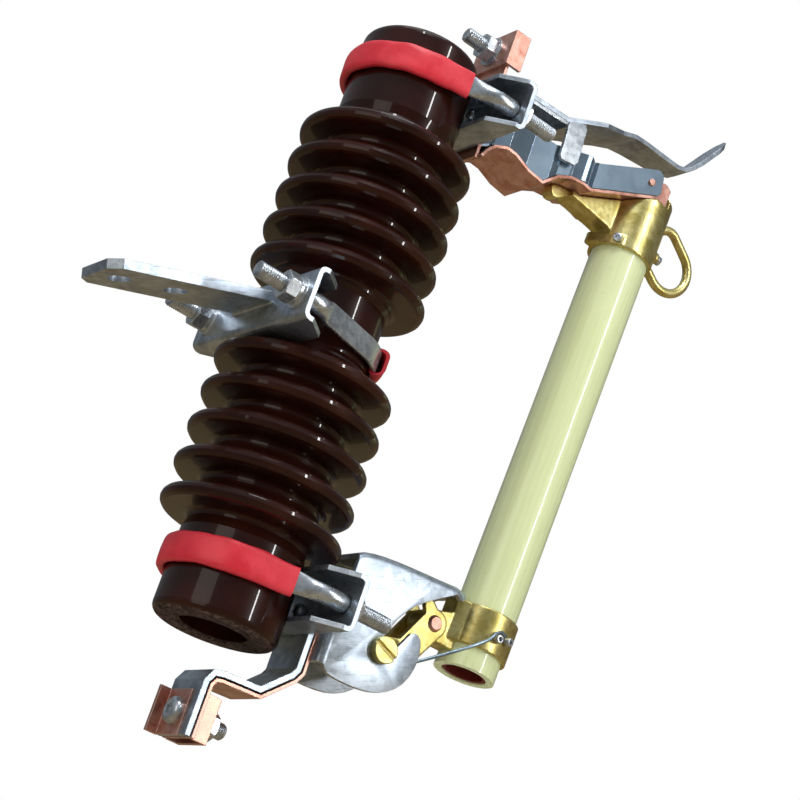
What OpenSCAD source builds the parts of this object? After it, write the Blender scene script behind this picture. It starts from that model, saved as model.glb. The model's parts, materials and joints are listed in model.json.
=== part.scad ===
// Dropout fuse cutout: a porcelain post insulator on a mounting bar, with a fuse tube between two contacts.
// World frame: the origin is on the bar's top face, midway between its two holes. +Z is up as installed,
// and +X runs from the bar towards the fuse tube. The insulator's own frame is tilted about Y.

/* [Mounting bar] */
// Lean of the insulator from the vertical, degrees
lean = 17.5; // [12:0.5:22]
// Width of the bar
bar_w = 45; // [40:1:50]
// Thickness of the bar
bar_t = 6; // [5:0.5:8]
// Distance from the clamp to the middle of the two holes
bar_reach = 70; // [64:1:90]
// Distance between the two holes
bar_hole_gap = 36; // [30:1:44]
// Diameter of the bar's holes
bar_hole_d = 14; // [10:1:16]
// Length of bar beyond the far hole's centre
bar_end = 16; // [14:1:24]
// Corner cut at the bar's far end
bar_corner = 7; // [4:1:10]

/* [Insulator] */
// Radius of the sheds
shed_r = 55; // [50:1:60]
// Half thickness of a shed's rim
rim_r = 4.3; // [3.5:0.1:5]
// Distance from shed to shed
shed_pitch = 23; // [23:1:25]
// Sheds above the neck, and as many below it
shed_count = 5; // [3:1:5]
// Radius between the sheds
core_r = 36; // [34:0.5:38]
// Radius of the middle neck
neck_r = 34; // [32:0.5:36]
// Radius of the plain barrels at both ends
barrel_r = 37.5; // [36:0.5:40]
// Radius of the bore through the porcelain
bore_r = 20.5; // [14:0.5:24]
// Height of the lowest upper shed above the middle clamp
upper_shed_z = 39; // [38:1:44]
// Depth of the highest lower shed below the middle clamp
lower_shed_z = 26; // [25:1:32]
// Length of the upper barrel above its first shed
top_barrel = 75; // [70:1:90]
// Length of the lower barrel below its last shed
bottom_barrel = 66; // [64:1:80]

/* [Clamps] */
// Height of the upper clamp above the middle clamp
upper_clamp_z = 180; // [176:1:186]
// Depth of the lower clamp below the middle clamp
lower_clamp_z = 150; // [146:1:154]
// Distance of each stud from the insulator's axis
stud_y = 51; // [50:0.5:54]
// Radius of the studs
stud_r = 5; // [4:0.5:6]
// Depth of the threads on studs and bolts
thread_depth = 0.6; // [0.5:0.1:0.8]
// Thickness of the steel strap
strap_t = 2.5; // [2:0.5:3]
// Height of the steel strap
strap_h = 14; // [10:1:16]
// Wall of the rubber sleeve
sleeve_t = 1.8; // [1.5:0.1:2.5]
// Height of the rubber sleeve
sleeve_h = 18.5; // [17:0.5:22]
// Length of a clamp bracket
bracket_len = 128; // [122:1:134]
// Height of a clamp bracket
bracket_h = 34; // [30:1:38]
// Depth of a clamp bracket
bracket_d = 21; // [18:1:24]
// Sheet thickness of the brackets
sheet_t = 3; // [2.5:0.5:4]
// Gap between the barrel and the bracket's outer face
bracket_gap = 12.5; // [11:0.5:16]

/* [Fuse tube] */
// Outer radius of the fibreglass tube
tube_r = 19.5; // [18:0.5:21]
// Wall of the fibreglass tube
tube_wall = 5; // [3:0.5:6]
// Wall of the liner in the tube
liner_wall = 2.5; // [1.5:0.5:3]
// Length of the tube
tube_len = 322; // [318:1:326]
// Lean of the tube away from the insulator's axis, degrees
tube_lean = 3.4; // [3:0.1:4]
// Wall of the brass collars
collar_wall = 2.4; // [2:0.1:3]
// Rod radius of the pull ring
ring_rod_r = 3.2; // [2.5:0.1:4]
// Radius of the pull ring's bend
ring_bend_r = 16.5; // [14:0.5:19]

/* [Hinge] */
// Radius of the trunnion's shaft
trunnion_r = 5.5; // [5:0.5:6]
// Radius of the trunnion's end discs
trunnion_disc_r = 8.2; // [7.5:0.1:9]
// Radius of the toggle pin
toggle_pin_r = 3.5; // [3:0.1:4]
// Half width of the collar's tongue
tongue_half = 7; // [6:0.5:8]
// Thickness of the trunnion's links
link_t = 3.5; // [3:0.5:4]
// Half width of the hanger, outside
hanger_half = 24; // [23:0.5:28]
// Running clearance of the pins
pin_play = 0.06; // [0.02:0.01:0.1]

/* [Contacts] */
// Half width of the copper contact strip
contact_half = 20; // [16:0.5:22]
// Thickness of the copper strips
copper_t = 2; // [1.5:0.1:2.5]
// Thickness of the spring steel
spring_t = 1.5; // [1:0.1:2]
// Thickness of the guide arm
arm_t = 3; // [2.5:0.5:4]
// Half width of the lower terminal strips
terminal_half = 17; // [15:0.5:19]
// Thickness of the lower steel terminal strip
terminal_t = 3.5; // [3:0.5:4]

/* [Hidden] */

seat = 0.3;                                  // gap between a round piece and its seat
strap_gap = 0.15;                            // gap between the strap and its sleeve
bend_r = 5;                                  // outer bend radius of the brackets
corner_cut = 14;                             // corner cut of the bracket flanges
strap_lead = 13;                             // from the web to the start of the round stud
stud_out = 28;                               // stud beyond the web of an end clamp
stud_out_middle = 31;                        // stud beyond the web of the middle clamp
nut_r = 9.2;                                 // corner radius of the hexagon nuts
thin_nut_h = 5;
nut_h = 8;
washer_r = 10;
washer_t = 2;
spring_washer_r = 8.4;
spring_washer_t = 2.5;
stud_hole_r = stud_r + 0.6;
root_r = stud_r - thread_depth;
groove_r = 4;                                // fillet where a shed meets the core
shed_under = 5.5;                            // shed root below its rim's middle
shed_over = 8.5;                             // shed root above its rim's middle
end_round = 5;                               // rounding of the insulator's ends
neck_relief = core_r - neck_r + 3;           // the middle bracket clears the shed root below it

web_x = barrel_r + bracket_gap;              // outer face of an end bracket
middle_web_x = neck_r + bracket_gap + 0.5;   // outer face of the middle bracket, on the back
group_h = (shed_count - 1) * shed_pitch;
top_z = upper_shed_z + group_h + top_barrel;
bottom_z = -lower_shed_z - group_h - bottom_barrel;

// The insulator's origin in the world: the bar leaves the middle bracket's back.
axis_origin = [middle_web_x * cos(lean) + bar_reach, 0, -middle_web_x * sin(lean) - bar_t];

// Hinge, contact and terminal places in the insulator's frame.
trunnion_at = [96, -lower_clamp_z - 6];
toggle_at = [133.5, -lower_clamp_z + 27.5];
elbow_at = [119, -lower_clamp_z + 2];        // bend of the trunnion's links
tube_top = [190.6, upper_clamp_z + 1.93];    // middle of the tube's upper end, under the contact
tube_foot = tube_top - tube_len * [sin(tube_lean), cos(tube_lean)];
hanger_in = hanger_half - sheet_t;           // inner face of the hanger's sides
link_in = tongue_half + seat;
link_out = link_in + link_t;
casting_r = tube_r + collar_wall;
casting_grip = 20;                           // length of tube inside the top casting
casting_s = tube_len - casting_grip;         // start of the top casting along the tube
casting_h = 49;
dome_h = 6;
collar_s = tube_len - (upper_clamp_z + lower_clamp_z - 21);
collar_h = 26;

module placed() {
    translate(axis_origin) rotate([0, lean, 0]) children();
}

// Places children in the tube's own frame: Z runs up along the tube from its lower end.
module along_tube() {
    translate([tube_foot[0], 0, tube_foot[1]]) rotate([0, tube_lean, 0]) children();
}

function arc(c, r, a0, a1, n) =
    [for (i = [0:n]) let (a = a0 + (a1 - a0) * i / n) [c[0] + r * cos(a), c[1] + r * sin(a)]];

// A prism from an outline in X and Z, from y0 to y1.
module side_plate(y0, y1) {
    translate([0, y1, 0]) rotate([90, 0, 0]) linear_extrude(y1 - y0) children();
}

// Outline of a strip of thickness t whose upper face follows the points.
function unit(v) = v / norm(v);
function left_normal(v) = [-v[1], v[0]];
function strip_normal(p, i) =
    let (a = unit(i > 0 ? p[i] - p[i - 1] : p[1] - p[0]))
    let (b = unit(i < len(p) - 1 ? p[i + 1] - p[i] : p[i] - p[i - 1]))
    let (m = unit(left_normal(a) + left_normal(b)))
    m / (m * left_normal(a));
function strip_outline(p, t) = concat(p, [for (i = [len(p) - 1:-1:0]) p[i] - t * strip_normal(p, i)]);
function lowered(p, t) = [for (i = [0:len(p) - 1]) p[i] - t * strip_normal(p, i)];

// A flat link between two round ends, in X and Z.
module link_outline(p, q, rp, rq) {
    d = norm(q - p);
    a = atan2(q[1] - p[1], q[0] - p[0]);
    b = acos((rp - rq) / d);
    translate(p) circle(r = rp, $fn = 48);
    translate(q) circle(r = rq, $fn = 48);
    polygon([
        p + rp * [cos(a + b), sin(a + b)], p + rp * [cos(a - b), sin(a - b)],
        q + rq * [cos(a - b), sin(a - b)], q + rq * [cos(a + b), sin(a + b)]
    ]);
}

module rod_between(p, q, r) {
    v = q - p;
    translate(p) rotate([0, acos(v[2] / norm(v)), atan2(v[1], v[0])]) cylinder(r = r, h = norm(v), $fn = 24);
}

// --- insulator ---

function shed_points(z) = concat(
    arc([core_r + groove_r, z - shed_under - groove_r], groove_r, 180, 90, 4),
    arc([shed_r - rim_r, z - 1], rim_r, -80, 75, 6),
    arc([core_r + groove_r, z + shed_over + groove_r], groove_r, 270, 180, 4)
);

module insulator() {
    lower = [for (i = [shed_count - 1:-1:0]) -lower_shed_z - i * shed_pitch];
    upper = [for (i = [0:shed_count - 1]) upper_shed_z + i * shed_pitch];
    reach = shed_over + groove_r;
    outline = concat(
        [[bore_r, bottom_z + 1.5], [bore_r + 1.5, bottom_z]],
        arc([barrel_r - end_round, bottom_z + end_round], end_round, -90, 0, 5),
        [[barrel_r, lower[0] - shed_under - groove_r - 6]],
        [for (z = lower) each shed_points(z)],
        [[neck_r, -lower_shed_z + reach + 3], [neck_r, upper_shed_z - shed_under - groove_r - 3]],
        [for (z = upper) each shed_points(z)],
        [[barrel_r, upper[shed_count - 1] + reach + 6]],
        arc([barrel_r - end_round, top_z - end_round], end_round, 0, 90, 5),
        [[bore_r + 1.5, top_z], [bore_r, top_z - 1.5]]
    );
    color([0.20, 0.09, 0.08]) placed() rotate_extrude($fn = 128) polygon(outline);
}

// --- clamps: each is drawn with its bracket on +X and its strap round the back ---

module bracket(barrel, web, relief) {
    x0 = web - bracket_d;
    h = bracket_h / 2;
    ri = bend_r - sheet_t;
    outline = concat(
        [[x0, -h]],
        arc([web - bend_r, -h + bend_r], bend_r, -90, 0, 4),
        arc([web - bend_r, h - bend_r], bend_r, 0, 90, 4),
        [[x0, h], [x0, h - sheet_t]],
        arc([web - bend_r, h - bend_r], ri, 90, 0, 3),
        arc([web - bend_r, -h + bend_r], ri, 0, -90, 3),
        [[x0, -h + sheet_t]]
    );
    difference() {
        side_plate(-bracket_len / 2, bracket_len / 2) polygon(outline);
        for (s = [-1, 1])
            scale([1, s, 1]) translate([0, 0, -h - 1]) linear_extrude(2 * h + 2) polygon([
                [x0 - 1, bracket_len / 2 + 1], [x0 - 1, bracket_len / 2 - corner_cut - 1],
                [x0 + corner_cut + 1, bracket_len / 2 + 1]
            ]);
        translate([0, 0, -h - 1]) cylinder(r = barrel + seat, h = 2 * h + 2, $fn = 96);
        if (relief > 0)
            translate([0, 0, -h - 1]) cylinder(r = barrel + relief, h = sheet_t + 2, $fn = 96);
        for (s = [-1, 1])
            translate([x0, s * stud_y, 0]) rotate([0, 90, 0]) cylinder(r = stud_hole_r, h = bracket_d + 1, $fn = 32);
    }
}

function strap_mid_r(barrel) = barrel + seat + sleeve_t + strap_t / 2;
function stud_start(web) = [web - sheet_t - strap_lead, stud_y];
function strap_angle(barrel, web) =
    let (s = stud_start(web)) atan2(s[1], s[0]) + acos(strap_mid_r(barrel) / norm(s));
function leg_len(barrel, web) = sqrt(pow(norm(stud_start(web)), 2) - pow(strap_mid_r(barrel), 2));

function leg_point(barrel, web, along) =
    let (a = strap_angle(barrel, web))
    strap_mid_r(barrel) * [cos(a), sin(a)] + along * [sin(a), -cos(a)];

// Middle line of the strap in plan, with each leg as long as leg says.
function strap_path(barrel, web, leg) =
    let (a = strap_angle(barrel, web), e = leg_point(barrel, web, leg))
    concat([e], arc([0, 0], strap_mid_r(barrel), a, 360 - a, 44), [[e[0], -e[1]]]);

module band(path, t, h) {
    translate([0, 0, -h / 2]) linear_extrude(h) polygon(strip_outline(lowered(path, -t / 2), t));
}

// The threaded end of a stud or bolt, down to the thread's root.
module threaded_end(h) {
    cylinder(r = root_r, h = h - 1, $fn = 32);
    translate([0, 0, h - 1]) cylinder(r1 = root_r, r2 = root_r - 1, h = 1, $fn = 32);
}

module strap(barrel, web, out) {
    a = strap_angle(barrel, web);
    l = leg_len(barrel, web);
    flat = 0.6 * l;
    s = stud_start(web);
    shoulder_r = stud_r + 0.6;
    band(strap_path(barrel, web, flat), strap_t, strap_h);
    for (y = [-1, 1])
        scale([1, y, 1]) {
            hull() {
                translate([leg_point(barrel, web, flat)[0], leg_point(barrel, web, flat)[1], 0])
                    rotate([0, 0, a - 90]) translate([-0.5, -strap_t / 2 + 0.02, -strap_h / 2 + 0.02])
                    cube([0.5, strap_t - 0.04, strap_h - 0.04]);
                translate([s[0] - 2, s[1], 0]) rotate([0, 90, 0]) cylinder(r = shoulder_r, h = 2, $fn = 32);
            }
            translate([s[0] - 1, s[1], 0]) rotate([0, 90, 0]) cylinder(r = shoulder_r - 0.05, h = strap_lead - 2, $fn = 32);
            translate([s[0], s[1], 0]) rotate([0, 90, 0]) cylinder(r = stud_r, h = web - s[0], $fn = 32);
            translate([web - 1, s[1], 0]) rotate([0, 90, 0]) threaded_end(out + 1);
        }
}

module sleeve_round(path, hollow) {
    difference() {
        band(path, strap_t + 2 * sleeve_t, sleeve_h);
        band(hollow, strap_t + 2 * strap_gap, strap_h + 2 * strap_gap);
    }
}

// A sleeve that covers the strap from one leg round to the other.
module long_sleeve(barrel, web, leg) {
    sleeve_round(strap_path(barrel, web, leg), strap_path(barrel, web, leg + 1));
}

// A short sleeve on the far side of the strap only, half degrees each way.
module short_sleeve(barrel, half) {
    r = strap_mid_r(barrel);
    sleeve_round(arc([0, 0], r, 180 - half, 180 + half, 20), arc([0, 0], r, 178 - half, 182 + half, 24));
}

// A nut or bolt head whose corners are turned off at both faces.
module hexagon(h) {
    face_r = nut_r * cos(30) + 0.15;
    turned = (nut_r - face_r) * tan(30);
    intersection() {
        cylinder(r = nut_r, h = h, $fn = 6);
        rotate_extrude($fn = 48) polygon([
            [0, 0], [face_r, 0], [nut_r + 0.1, turned + 0.1], [nut_r + 0.1, h - turned - 0.1], [face_r, h], [0, h]
        ]);
    }
}

module hex_nut(h) {
    difference() {
        hexagon(h);
        translate([0, 0, -1]) cylinder(r = stud_r + 0.05, h = h + 2, $fn = 32);
    }
}

module ring_washer(r, t) {
    difference() {
        cylinder(r = r, h = t, $fn = 32);
        translate([0, 0, -1]) cylinder(r = stud_r + 0.3, h = t + 2, $fn = 32);
    }
}

// Children stand on the bracket's outer face round both studs.
module on_studs(web) {
    for (s = [-1, 1])
        translate([web, s * stud_y, 0]) rotate([0, 90, 0]) rotate([0, 0, 30 + 15 * s]) children();
}

module at_upper() { placed() translate([0, 0, upper_clamp_z]) children(); }
module at_lower() { placed() translate([0, 0, -lower_clamp_z]) children(); }
module at_middle() { placed() rotate([0, 0, 180]) children(); }

sleeve_leg = 0.56 * leg_len(barrel_r, web_x);

module upper_bracket() color([0.78, 0.79, 0.80]) at_upper() bracket(barrel_r, web_x, 0);
module lower_bracket() color([0.78, 0.79, 0.80]) at_lower() bracket(barrel_r, web_x, 0);
module middle_bracket() color([0.72, 0.74, 0.76]) at_middle() bracket(neck_r, middle_web_x, neck_relief);
module upper_strap() color([0.75, 0.76, 0.78]) at_upper() strap(barrel_r, web_x, stud_out);
module lower_strap() color([0.75, 0.76, 0.78]) at_lower() strap(barrel_r, web_x, stud_out);
module middle_strap() color([0.75, 0.76, 0.78]) at_middle() strap(neck_r, middle_web_x, stud_out_middle);
module upper_sleeve() color([0.85, 0.16, 0.22]) at_upper() long_sleeve(barrel_r, web_x, sleeve_leg);
module lower_sleeve() color([0.85, 0.16, 0.22]) at_lower() long_sleeve(barrel_r, web_x, sleeve_leg);
module middle_sleeve() color([0.80, 0.13, 0.18]) at_middle() short_sleeve(neck_r, 34);
module upper_nuts() color([0.80, 0.81, 0.82]) at_upper() on_studs(web_x) hex_nut(thin_nut_h);
module lower_nuts() color([0.80, 0.81, 0.82]) at_lower() on_studs(web_x) hex_nut(thin_nut_h);

module middle_washers() {
    color([0.70, 0.71, 0.72]) at_middle() on_studs(middle_web_x) {
        ring_washer(washer_r, washer_t);
        translate([0, 0, washer_t]) ring_washer(spring_washer_r, spring_washer_t);
    }
}

module middle_nuts() {
    color([0.80, 0.81, 0.82]) at_middle() on_studs(middle_web_x + washer_t + spring_washer_t) hex_nut(nut_h);
}

module mount_bar() {
    far_x = -bar_hole_gap / 2 - bar_end;
    near_x = bar_reach;
    color([0.74, 0.75, 0.77]) difference() {
        side_plate(-bar_w / 2, bar_w / 2) polygon([
            [far_x, -bar_t], [near_x, -bar_t], [near_x + bar_t * tan(lean), 0], [far_x, 0]
        ]);
        for (s = [-1, 1])
            translate([s * bar_hole_gap / 2, 0, -bar_t - 1]) cylinder(r = bar_hole_d / 2, h = bar_t + 2, $fn = 48);
        for (s = [-1, 1])
            scale([1, s, 1]) translate([0, 0, -bar_t - 1]) linear_extrude(bar_t + 2) polygon([
                [far_x - 1, bar_w / 2 - bar_corner - 1], [far_x - 1, bar_w / 2 + 1], [far_x + bar_corner + 1, bar_w / 2 + 1]
            ]);
    }
}

// --- upper contact ---

// Stack on the web of the upper bracket, from the web outwards.
copper_x = web_x;
spring_x = copper_x + copper_t;
clip_t = 2.5;
arm_x = spring_x + spring_t;
clip_x = arm_x + arm_t;
up = upper_clamp_z;
leg_half = 14;                               // half width of the legs on the web
leg_z = up - 2;                              // foot of the clip's and the arm's legs

// Lower edge of the spring, from the bend at the web to the tip.
spring_edge = [
    [60, up - 8], [69, up - 4], [77, up - 4.5], [89, up - 9], [101, up - 10.5], [111, up - 0.5],
    [121, up + 4.5], [132, up + 6], [138, up + 5], [188, up + 28]
];
spring_tip = spring_edge[len(spring_edge) - 1];
spring_leg = [[spring_x, up - 11.5], [spring_x + 2, up - 11.5]];
spring_half = contact_half;
copper_gap = 0.5;                            // gap between the spring and the copper below it
press_gap = 0.4;                             // gap between the copper and the nose below it
copper_under = lowered(spring_edge, copper_gap + copper_t);

module spring_profile() {
    polygon(concat(
        spring_edge, arc(spring_tip + [0, 4], 4, -65, 15, 3), arc(spring_tip + [-2, 13], 5, 15, 105, 4),
        [
            [139, up + 24], [132, up + 25], [120, up + 24], [111, up + 20],
            [103, up + 17], [69, up + 20], [60, up + 17]
        ]
    ));
}

// Plan of one side wall: it jogs in and out, so that its creases show.
wall_plan = [
    [60, spring_half - 3], [70, spring_half], [88, spring_half - 4], [104, spring_half], [110, spring_half - 1.5],
    [120, spring_half - 1.5], [122.5, spring_half - 3.2], [125, spring_half - 2.2], [129, spring_half - 0.4],
    [132, spring_half], [134.5, spring_half - 1.2], [136.8, spring_half - 3.2], [138.6, spring_half], [200, spring_half]
];

module contact_spring() {
    inner = spring_half - spring_t - 2.5;
    color([0.62, 0.66, 0.71]) placed() {
        for (s = [-1, 1])
            scale([1, s, 1]) intersection() {
                side_plate(0, spring_half + 1) spring_profile();
                translate([0, 0, up - 40]) linear_extrude(90) polygon(strip_outline(wall_plan, spring_t));
            }
        side_plate(-inner, inner) polygon(strip_outline(lowered(spring_edge, -spring_t), spring_t));
        side_plate(-leg_half, leg_half) polygon(strip_outline(
            lowered(concat([[spring_x + 1.1, up - 12.9], [55, up - 11]], [for (i = [0:1]) spring_edge[i]]), -spring_t), spring_t));
        translate([spring_x, -leg_half, up - 13]) cube([spring_t, 2 * leg_half, 26]);
    }
}

module upper_contact_strip() {
    tab_out = spring_half - spring_t - 0.1;
    color([0.72, 0.38, 0.26]) placed() {
        difference() {
            translate([copper_x, -terminal_half, up - 22]) cube([copper_t, 2 * terminal_half, 94]);
            translate([copper_x - 1, 0, up + 59]) rotate([0, 90, 0]) cylinder(r = stud_r + 0.4, h = copper_t + 2, $fn = 32);
        }
        side_plate(-contact_half, contact_half) polygon(strip_outline(
            lowered(concat([[spring_x - 0.5, up - 20], [55, up - 13.5]], spring_edge), copper_gap), copper_t));
        // Tongue that hangs beside the nose on the far side.
        side_plate(14, 15.5) polygon([
            [141, up + 4.8], [154.5, up + 0.4], [157.5, up - 0.2], [160.5, up + 1.3], [161.8, up + 4.5], [163, up + 14.8]
        ]);
        // Upturned tabs at the tip, riveted to the spring's walls.
        for (s = [-1, 1])
            scale([1, s, 1]) side_plate(tab_out - 2, tab_out) polygon([
                spring_tip - [6, 3.2], spring_tip + [0, -1.6], spring_tip + [11.5, -2.4], spring_tip + [12.5, 10], spring_tip + [8, 13],
                spring_tip + [-6, 11]
            ]);
    }
}

module contact_rivets() {
    color([0.75, 0.42, 0.28]) placed() for (s = [-1, 1])
        translate([spring_tip[0] - 6, s * spring_half, spring_tip[1] + 6.4]) rotate([-90 * s, 0, 0])
            cylinder(r = 2.4, h = 1.6, $fn = 32);
}

// Upper face of the guide arm, from its bend at the web to its upturned tip.
arm_path = [
    [arm_x, up + 33], [74, up + 37], [104, up + 38], [128, up + 49], [163, up + 62], [173, up + 63],
    [200, up + 64], [207, up + 64.6], [213, up + 66.8], [218, up + 71], [224, up + 78.2], [244.5, up + 108.5]
];

module guide_arm() {
    tip = arm_path[len(arm_path) - 1];
    color([0.80, 0.81, 0.82]) placed() {
        intersection() {
            side_plate(-30, 30) polygon(strip_outline(arm_path, arm_t));
            translate([0, 0, up]) linear_extrude(120) polygon([
                [arm_x - 1, -22], [135, -22], [152, -16], [192, -12], [212, -10], [237, -9], [242, -6], [244.5, 0],
                [242, 6], [237, 9], [212, 10], [192, 12], [152, 16], [135, 22], [arm_x - 1, 22]
            ]);
        }
        translate([arm_x, -leg_half, leg_z]) cube([arm_t, 2 * leg_half, up + 33 - leg_z]);
    }
}

// Plate under the arm whose sides are bent down as two clips.
module guide_clips() {
    clip_path = lowered([for (i = [0:3]) arm_path[i]], arm_t + seat);
    color([0.82, 0.83, 0.84]) placed() {
        intersection() {
            side_plate(-22, 22) polygon(strip_outline(clip_path, clip_t));
            translate([clip_x, -30, up]) cube([62, 60, 60]);
        }
        translate([clip_x, -leg_half, leg_z]) cube([clip_t, 2 * leg_half, up + 26 - leg_z]);
        for (s = [-1, 1])
            scale([1, s, 1]) side_plate(22, 22 + clip_t) polygon([
                [104, up + 33.5], [107, up + 36], [116, up + 38.6], [118.4, up + 36.3], [119.5, up + 12], [117.5, up + 9],
                [107, up + 7.5], [105, up + 9.5]
            ]);
    }
}

module upper_terminal_clamp() {
    z0 = up + 46;
    color([0.80, 0.50, 0.38]) placed() difference() {
        translate([web_x - 2.5, -20, z0]) cube([12, 40, 25]);
        translate([web_x, -17.5, z0 - 1]) cube([20, 35, 27]);
        translate([web_x - 5, 0, z0 + 13]) rotate([0, 90, 0]) cylinder(r = stud_r + 0.4, h = 20, $fn = 32);
    }
}

module upper_terminal_bolt() {
    color([0.76, 0.77, 0.78]) placed() translate([web_x + copper_t, 0, up + 59]) rotate([0, -90, 0]) {
        translate([0, 0, -1]) threaded_end(29);
        translate([0, 0, -6]) hexagon(6);
    }
}

module upper_terminal_nut() {
    color([0.78, 0.79, 0.80]) placed() translate([web_x - 2.5, 0, up + 59]) rotate([0, -90, 0]) {
        ring_washer(washer_r, washer_t);
        translate([0, 0, washer_t]) hex_nut(nut_h);
    }
}

// --- lower hinge and terminal ---

low = -lower_clamp_z;
steel_x = web_x;
strip_gap = 1.2;                             // gap between the steel and the copper strip
lower_copper_x = steel_x + terminal_t + strip_gap;
hanger_x = lower_copper_x + copper_t;
slot_dir = [cos(62), sin(62)];
slot_half = trunnion_r + pin_play;

module hanger_side_outline() {
    difference() {
        polygon([
            [hanger_x, low + 24], [64, low + 38], [66, low + 41], [89, low + 45], [120, low + 47], [138, low + 48.5],
            [143, low + 46.5], [129, low + 43], [117, low + 35], [106, low + 27], [102, low + 22], [112, low + 8],
            [118, low + 11], [121, low + 4], [121, low - 4], [115, low - 19], [103, low - 28], [86, low - 32],
            [72, low - 33], [hanger_x - 3, low - 24]
        ]);
        translate(trunnion_at) circle(r = trunnion_r + pin_play, $fn = 48);
        polygon([
            trunnion_at + slot_half * left_normal(slot_dir), trunnion_at - slot_half * left_normal(slot_dir),
            trunnion_at - slot_half * left_normal(slot_dir) + 40 * slot_dir,
            trunnion_at + slot_half * left_normal(slot_dir) + 40 * slot_dir
        ]);
    }
}

module hanger() {
    color([0.80, 0.81, 0.83]) placed() {
        for (s = [-1, 1])
            scale([1, s, 1]) side_plate(hanger_in, hanger_half) hanger_side_outline();
        side_plate(-hanger_half, hanger_half) polygon(strip_outline([
            [64, low + 39], [66, low + 41], [89, low + 45], [120, low + 47], [138, low + 48.5], [143, low + 46.5]], sheet_t));
        translate([hanger_x, -hanger_half, low - 24]) cube([sheet_t, 2 * hanger_half, 48]);
    }
}

module lower_contact() {
    color([0.66, 0.36, 0.25]) placed() side_plate(-12, 12) polygon(strip_outline([
        [hanger_x + sheet_t, low + 20], [70, low + 33], [90, low + 37], [106, low + 38], [114, low + 33]], copper_t));
}

// Lower terminal strips: down the web, back under the insulator and down again to the clamp.
steel_path = [
    [steel_x, low + 16], [steel_x, low - 36], [steel_x - 2, low - 39.5], [32, low - 54.5], [8, low - 55.5],
    [1, low - 57], [-3, low - 64], [-3, low - 97]
];
terminal_zc = low - 84;

module lower_terminal_steel() {
    p = [for (i = [len(steel_path) - 1:-1:0]) steel_path[i]];
    color([0.80, 0.81, 0.82]) placed() difference() {
        side_plate(-terminal_half, terminal_half) polygon(strip_outline(p, terminal_t));
        translate([-10, 0, terminal_zc]) rotate([0, 90, 0]) cylinder(r = stud_r + 0.4, h = 20, $fn = 32);
    }
}

module lower_terminal_copper() {
    p = [for (i = [len(steel_path) - 1:-1:0]) steel_path[i]];
    color([0.78, 0.47, 0.35]) placed() difference() {
        side_plate(-terminal_half, terminal_half) polygon(strip_outline(lowered(p, terminal_t + strip_gap), copper_t));
        translate([-10, 0, terminal_zc]) rotate([0, 90, 0]) cylinder(r = stud_r + 0.4, h = 20, $fn = 32);
    }
}

clamp_front_x = -3;
clamp_back_x = clamp_front_x + terminal_t + strip_gap + copper_t;
clamp_plate = 2.5;
front_plate = 1.2;
clamp_half = 13.5;                           // half height of the clamps

module terminal_clamps() {
    color([0.82, 0.52, 0.40]) placed() difference() {
        union() {
            translate([clamp_front_x - front_plate, -10, terminal_zc - clamp_half])
                cube([front_plate, 26, 2 * clamp_half]);
            translate([clamp_front_x - 8, 14, terminal_zc - clamp_half]) cube([8, clamp_plate, 2 * clamp_half]);
            translate([clamp_back_x + 6.5, -15.5, terminal_zc - clamp_half]) cube([clamp_plate, 31, 2 * clamp_half]);
            for (s = [-1, 1])
                scale([1, s, 1]) translate([clamp_back_x, 13, terminal_zc - clamp_half])
                    cube([9, clamp_plate, 2 * clamp_half]);
        }
        translate([-30, 0, terminal_zc]) rotate([0, 90, 0]) cylinder(r = stud_r + 0.4, h = 60, $fn = 32);
    }
}

module lower_terminal_bolt() {
    x0 = clamp_front_x - front_plate;
    head_r = 8.2;
    head_h = 5;
    color([0.74, 0.75, 0.76]) placed() translate([x0, 0, terminal_zc]) rotate([0, 90, 0]) {
        translate([0, 0, -1]) threaded_end(33.5);
        // Round head with a hexagon socket.
        difference() {
            rotate_extrude($fn = 48) polygon(concat([[0, 0], [head_r, 0]], arc([head_r - 3.4, -1.6], 3.4, 0, -90, 5), [[0, -head_h]]));
            translate([0, 0, -head_h - 1]) cylinder(r = 3.4, h = 3.6, $fn = 6);
        }
    }
}

module lower_terminal_nut() {
    color([0.78, 0.79, 0.80]) placed() translate([clamp_back_x + 9, 0, terminal_zc]) rotate([0, 90, 0]) hex_nut(nut_h);
}

// --- trunnion body ---

module trunnion() {
    color([0.80, 0.66, 0.30]) placed() {
        translate([trunnion_at[0], hanger_half + 1, trunnion_at[1]]) rotate([90, 0, 0])
            cylinder(r = trunnion_r, h = 2 * hanger_half + 2, $fn = 48);
        for (s = [-1, 1])
            scale([1, s, 1]) difference() {
                translate([trunnion_at[0], hanger_half + 5, trunnion_at[1]]) rotate([90, 0, 0])
                    cylinder(r = trunnion_disc_r, h = 5 - seat, $fn = 48);
                translate([trunnion_at[0], hanger_half + 3.5, trunnion_at[1]]) rotate([0, 20, 0])
                    translate([-12, 0, -1]) cube([24, 3, 2]);
            }
        for (s = [-1, 1])
            scale([1, s, 1]) side_plate(link_in, link_out) difference() {
                union() {
                    link_outline(trunnion_at, elbow_at, 11, 8.5);
                    link_outline(elbow_at, toggle_at, 8.5, 9);
                    link_outline(toggle_at, toggle_at + [-7, 9], 6, 4);
                }
                translate(toggle_at) circle(r = toggle_pin_r, $fn = 32);
            }
    }
}

module toggle_pin() {
    head_t = 2;
    color([0.72, 0.42, 0.28]) placed() translate([toggle_at[0], 0, toggle_at[1]]) rotate([90, 0, 0]) {
        translate([0, 0, -link_out]) cylinder(r = toggle_pin_r, h = 2 * link_out, $fn = 32);
        for (s = [-1, 1])
            scale([1, 1, s]) translate([0, 0, link_out]) cylinder(r1 = 5.2, r2 = 3.8, h = head_t, $fn = 32);
    }
}

// --- fuse tube body ---

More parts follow.
